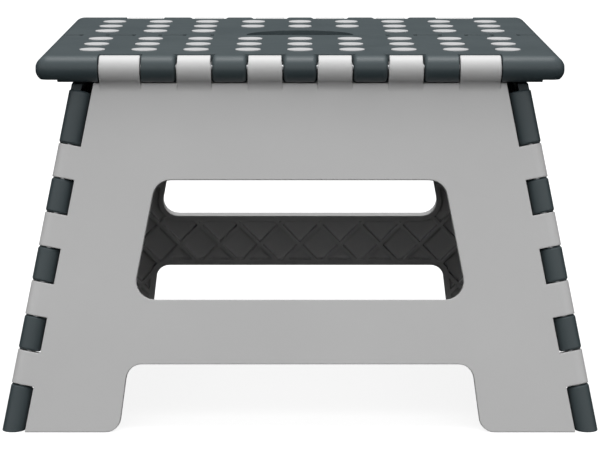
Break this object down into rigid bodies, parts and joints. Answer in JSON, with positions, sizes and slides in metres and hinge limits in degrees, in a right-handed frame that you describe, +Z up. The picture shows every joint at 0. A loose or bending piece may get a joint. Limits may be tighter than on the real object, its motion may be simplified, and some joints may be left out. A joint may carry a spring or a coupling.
{
  "type": "folding step stool",
  "caption": "Folding step stool with a two-part hinged deck with grip dots, splayed leg panels and end panels that fold inwards between them.",
  "frame": {"origin": "centre of the base on the floor", "axes": "+X along the long edge, +Y from the front panel to the rear panel, +Z up"},
  "size_m": [0.3586, 0.3158, 0.2224],
  "materials": {
    "dark_plastic": "dark slate moulded polypropylene",
    "light_plastic": "light grey moulded polypropylene",
    "dot_plastic": "pale grey soft grip",
    "pin_steel": "plain drawn wire"
  },
  "bodies": {
    "front_leg": {"front_leg_panel": "light_plastic", "front_seat_hinge_pin": "pin_steel", "left_front_corner_pin": "pin_steel", "right_front_corner_pin": "pin_steel"},
    "rear_leg": {"rear_leg_panel": "light_plastic", "rear_seat_hinge_pin": "pin_steel", "left_rear_corner_pin": "pin_steel", "right_rear_corner_pin": "pin_steel"},
    "front_seat": {"top_front_half": "dark_plastic", "front_grip_dots": "dot_plastic", "left_centre_hinge_pin": "pin_steel", "right_centre_hinge_pin": "pin_steel"},
    "rear_seat": {"top_rear_half": "dark_plastic", "rear_grip_dots": "dot_plastic"},
    "left_front_end": {"left_front_end_panel": "dark_plastic", "left_end_fold_pin": "pin_steel"},
    "left_rear_end": {"left_rear_end_panel": "dark_plastic"},
    "right_front_end": {"right_front_end_panel": "dark_plastic", "right_end_fold_pin": "pin_steel"},
    "right_rear_end": {"right_rear_end_panel": "dark_plastic"}
  },
  "joints": [
    {"name": "left_front_corner", "type": "hinge", "parent": "front_leg", "child": "left_front_end", "pos_m": [-0.1724, -0.1509, 0], "axis": [-0.191, -0.2046, -0.96], "range_deg": [0, 90]},
    {"name": "right_front_corner", "type": "hinge", "parent": "front_leg", "child": "right_front_end", "pos_m": [0.1724, -0.1509, 0], "axis": [-0.191, 0.2046, 0.96], "range_deg": [0, 90]},
    {"name": "left_end_fold", "type": "hinge", "parent": "left_front_end", "child": "left_rear_end", "pos_m": [-0.18155, 0, 0], "axis": [0.2073, 0, 0.9783], "range_deg": [0, 175.28]},
    {"name": "left_rear_corner", "type": "hinge", "parent": "left_rear_end", "child": "rear_leg", "pos_m": [-0.1724, 0.1509, 0], "axis": [-0.191, 0.2046, -0.96], "range_deg": [0, 90]},
    {"name": "right_rear_corner", "type": "hinge", "parent": "rear_leg", "child": "right_rear_end", "pos_m": [0.1724, 0.1509, 0], "axis": [0.191, 0.2046, -0.96], "range_deg": [0, 90]},
    {"name": "front_seat_fold", "type": "hinge", "parent": "front_leg", "child": "front_seat", "pos_m": [0, -0.115, 0.214], "axis": [1, 0, 0], "range_deg": [0, 69.48]},
    {"name": "rear_seat_fold", "type": "hinge", "parent": "rear_leg", "child": "rear_seat", "pos_m": [0, 0.115, 0.214], "axis": [-1, 0, 0], "range_deg": [0, 69.48]}
  ],
  "couplings": [
    {"joint": "right_front_corner", "follows": "left_front_corner", "ratio": 1},
    {"joint": "left_end_fold", "follows": "left_front_corner", "ratio": 1.9475},
    {"joint": "left_rear_corner", "follows": "left_front_corner", "ratio": 1},
    {"joint": "right_rear_corner", "follows": "left_front_corner", "ratio": 1},
    {"joint": "front_seat_fold", "follows": "left_front_corner", "ratio": 0.772},
    {"joint": "rear_seat_fold", "follows": "left_front_corner", "ratio": 0.772}
  ]
}
